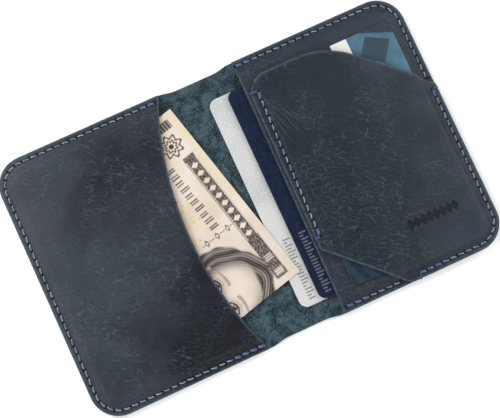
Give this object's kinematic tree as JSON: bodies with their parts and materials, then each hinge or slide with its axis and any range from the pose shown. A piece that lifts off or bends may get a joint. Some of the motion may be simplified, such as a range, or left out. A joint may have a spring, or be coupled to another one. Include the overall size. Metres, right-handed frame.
{
  "type": "bifold wallet",
  "caption": "Slim leather wallet with one fold, lying open: a curved-mouth note pocket on one page, a card slot and an angled front card pocket on the other.",
  "frame": {"origin": "middle of the fold line, on the outer face that rests on the table", "axes": "+X along the open wallet towards the card page, +Y up a page, +Z out of the open wallet"},
  "size_m": [0.166, 0.1036, 0.0069],
  "materials": {
    "shell_leather": "flesh side inside, short suede nap; waxed grain outside",
    "pocket_leather": "waxed pull-up grain, low sheen",
    "thread": "waxed twisted polyester",
    "note_paper": "matt cotton paper with engraved print",
    "silver_plastic": "satin, fine dot pattern",
    "navy_plastic": "satin",
    "blue_plastic": "satin with printed blocks"
  },
  "bodies": {
    "left_page": {"shell_left": "shell_leather", "shell_spine": "shell_leather", "note_pocket": "pocket_leather", "seam_note_pocket": "thread"},
    "right_page": {"shell_right": "shell_leather", "card_panel": "pocket_leather", "front_pocket": "pocket_leather", "seam_card_panel_top": "thread", "seam_card_panel_bottom": "thread", "seam_front_pocket_corner": "thread", "seam_front_pocket_side": "thread"},
    "banknote": {"banknote": "note_paper"},
    "silver_card": {"silver_card": "silver_plastic"},
    "navy_card": {"navy_card": "navy_plastic"},
    "blue_card": {"blue_card": "blue_plastic"}
  },
  "joints": [
    {"name": "fold", "type": "hinge", "parent": "left_page", "child": "right_page", "pos_m": [0, 0, 0.00566], "axis": [0, -1, 0], "range_deg": [0, 179], "deforming": ["shell_spine", "banknote"]},
    {"name": "note_slide", "type": "slide", "parent": "left_page", "child": "banknote", "axis": [0.9703, 0.2419, 0], "range_m": [-0.002, 0.009]},
    {"name": "silver_card_slide", "type": "slide", "parent": "right_page", "child": "silver_card", "axis": [1, 0, 0], "range_m": [-0.004, 0.021]},
    {"name": "navy_card_slide", "type": "slide", "parent": "right_page", "child": "navy_card", "axis": [1, 0, 0], "range_m": [-0.011, 0.0135]},
    {"name": "blue_card_slide", "type": "slide", "parent": "right_page", "child": "blue_card", "axis": [0, 1, 0], "range_m": [-0.001, 0.095]}
  ]
}
